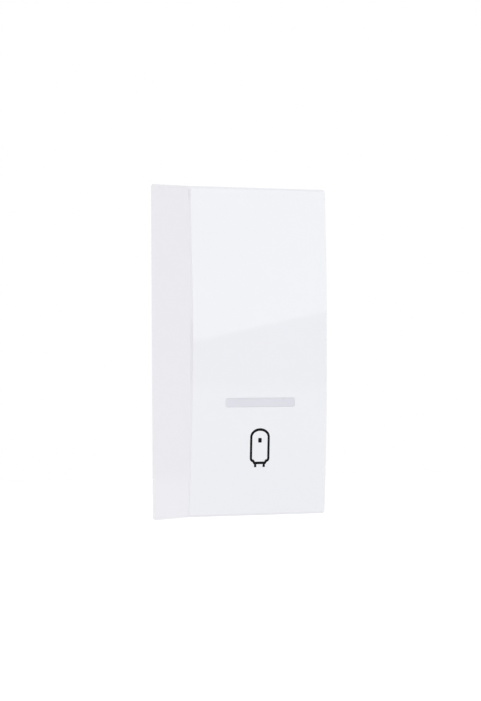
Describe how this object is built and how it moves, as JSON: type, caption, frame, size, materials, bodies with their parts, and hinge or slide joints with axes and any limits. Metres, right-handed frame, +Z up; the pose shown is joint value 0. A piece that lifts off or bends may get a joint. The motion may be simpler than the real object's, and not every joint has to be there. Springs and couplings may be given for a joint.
{
  "type": "illuminated push button switch",
  "caption": "Slim snap-in push button switch module: a white drafted key with a lit slot, hinged at the top, over a base with a spring plunger, contacts and rear wire terminals.",
  "frame": {"origin": "centre of the flange's rear face, on the plane that rests on the support frame", "axes": "+X across the width (right as seen from the front), -Y out of the key's front, +Y into the wall, +Z up"},
  "size_m": [0.0226, 0.0194, 0.045],
  "materials": {
    "key_cap": "satin gloss white",
    "lens": "milky translucent",
    "inner_plastic": "moulded matt",
    "steel": "drawn",
    "housing_plastic": "moulded matt",
    "plunger_plastic": "moulded matt",
    "spring_steel": "drawn",
    "contact_brass": "stamped",
    "contact_silver": "polished",
    "terminal_brass": "machined",
    "board_laminate": "solder mask",
    "led_resin": "clear resin",
    "resistor_lacquer": "lacquered",
    "diode_epoxy": "moulded",
    "buffer_rubber": "matt"
  },
  "bodies": {
    "base": {"hinge_pin": "steel", "base_housing": "housing_plastic", "contact_cover": "inner_plastic", "contact_cover_screws": "steel", "plunger_springs": "spring_steel", "fixed_contact_tips": "contact_silver", "line_contact_strap": "contact_brass", "load_contact_strap": "contact_brass", "terminal_clamps": "terminal_brass", "terminal_screws": "steel", "rear_cover": "housing_plastic", "rear_cover_screw": "steel", "lamp_straps": "contact_brass", "circuit_board": "board_laminate", "indicator_led": "led_resin", "led_resistor": "resistor_lacquer", "led_diode": "diode_epoxy", "stop_buffers": "buffer_rubber"},
    "key": {"key_cap": "key_cap", "key_carrier": "inner_plastic", "light_guide": "lens"},
    "plunger": {"plunger": "plunger_plastic", "bridge_contact": "contact_brass", "bridge_contact_tips": "contact_silver", "contact_pressure_spring": "spring_steel"}
  },
  "joints": [
    {"name": "key_press", "type": "hinge", "parent": "base", "child": "key", "pos_m": [0, -0.0037, 0.017], "axis": [1, 0, 0], "range_deg": [0, 2.25], "stiffness_Nm_per_rad": 0.5, "springref_deg": -11.46},
    {"name": "plunger_travel", "type": "slide", "parent": "base", "child": "plunger", "axis": [0, 1, 0], "range_m": [0, 0.0012], "deforming": ["plunger_springs"]}
  ],
  "couplings": [
    {"joint": "plunger_travel", "follows": "key_press", "m_per_rad": 0.03}
  ]
}
